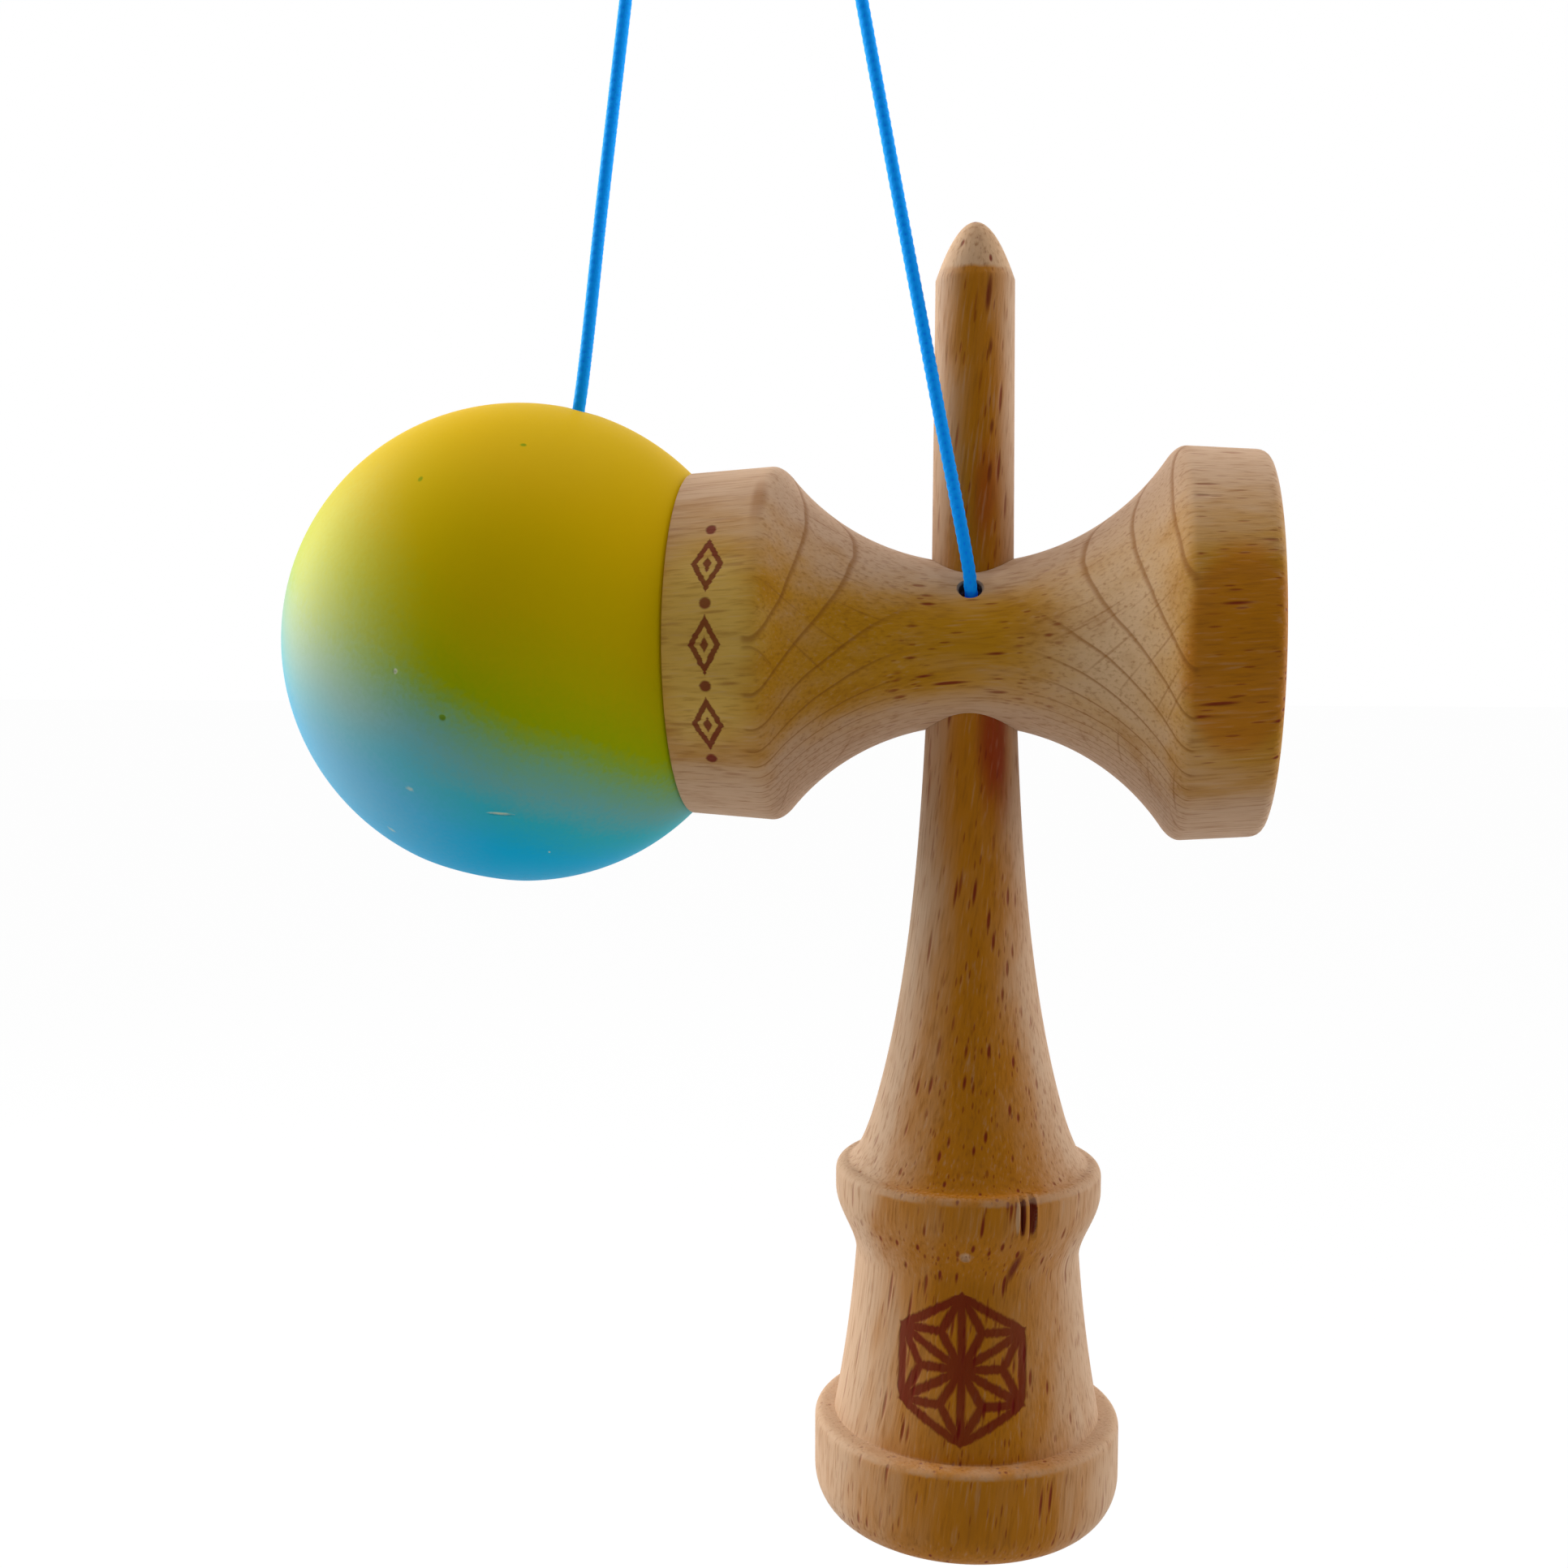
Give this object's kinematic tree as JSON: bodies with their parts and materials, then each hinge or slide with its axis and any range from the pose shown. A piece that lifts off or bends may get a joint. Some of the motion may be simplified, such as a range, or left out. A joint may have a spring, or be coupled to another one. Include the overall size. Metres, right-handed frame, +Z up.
{
  "type": "kendama",
  "caption": "Wooden cup-and-ball toy hung by its string: a turned handle with a spike, a cross-piece with cups, and a painted ball with a hole on a cord.",
  "frame": {"origin": "middle of the loop that the string hangs by, where a peg or finger goes", "axes": "+Z up along the ken, +X towards the big cup, +Y away from the side that the string leaves the cross-piece on"},
  "size_m": [0.1216, 0.0604, 0.2463],
  "materials": {
    "beech": "bare turned beech, sanded, handled and a little stained",
    "ball_paint": "satin sprayed paint on beech, yellow above fading through green to blue below",
    "cord": "braided blue cord",
    "bead_wood": "plain turned wood"
  },
  "bodies": {
    "sarado": {"sarado": "beech", "string_ken_leg": "cord", "string_bight": "cord"},
    "ken": {"ken": "beech", "string_in_ken": "cord"},
    "ball_string": {"string_ball_leg": "cord", "string_in_tama": "cord", "bead": "bead_wood"},
    "tama": {"tama": "ball_paint"}
  },
  "joints": [
    {"name": "ken_draw", "type": "slide", "parent": "sarado", "child": "ken", "axis": [0, 0, -1], "range_m": [0, 0.008]},
    {"name": "tama_swing", "type": "hinge", "parent": "sarado", "child": "ball_string", "pos_m": [0, 0, 0], "axis": [0, 1, 0], "range_deg": [0, 90], "deforming": ["string_bight"]},
    {"name": "tama_spin", "type": "hinge", "parent": "ball_string", "child": "tama", "pos_m": [-0.02625, 0, -0.13], "axis": [0.2674, -0.0667, 0.9613], "continuous": true}
  ]
}
